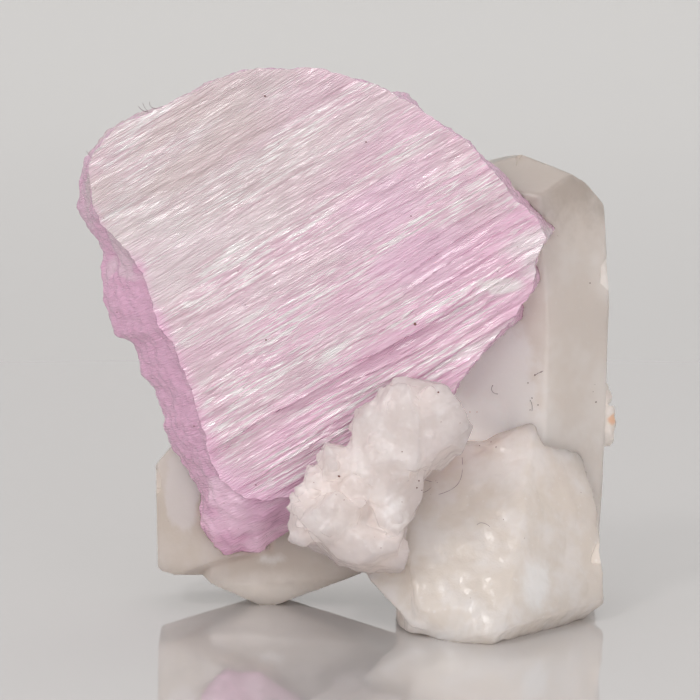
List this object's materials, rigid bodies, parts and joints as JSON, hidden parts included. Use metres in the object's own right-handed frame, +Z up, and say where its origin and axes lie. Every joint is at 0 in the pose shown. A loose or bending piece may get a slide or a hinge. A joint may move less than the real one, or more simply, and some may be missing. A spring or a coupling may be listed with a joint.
{
  "type": "kunzite crystal specimen",
  "caption": "Flat, ridged pink kunzite blade grown on smoky and milky quartz crystals with a crust of small pale crystals.",
  "frame": {"origin": "under the middle of the specimen, at the level it stands on", "axes": "+Z up, along the specimen's longest extent; +X to the right as seen from the front; +Y to the back, along its shortest extent"},
  "size_m": [0.0404, 0.023, 0.0413],
  "materials": {
    "kunzite": "clear pale pink spodumene with silky ridges",
    "smoky_quartz": "hazy, faintly smoky quartz with smooth faces",
    "milky_quartz": "milky quartz with etched faces",
    "pale_crust": "small whitish translucent crystals"
  },
  "bodies": {
    "root": {"kunzite_crystal": "kunzite", "large_quartz_crystal": "smoky_quartz", "base_quartz_crystal": "milky_quartz", "left_quartz_crystals": "smoky_quartz", "pale_crystal_cluster": "pale_crust"}
  },
  "joints": []
}
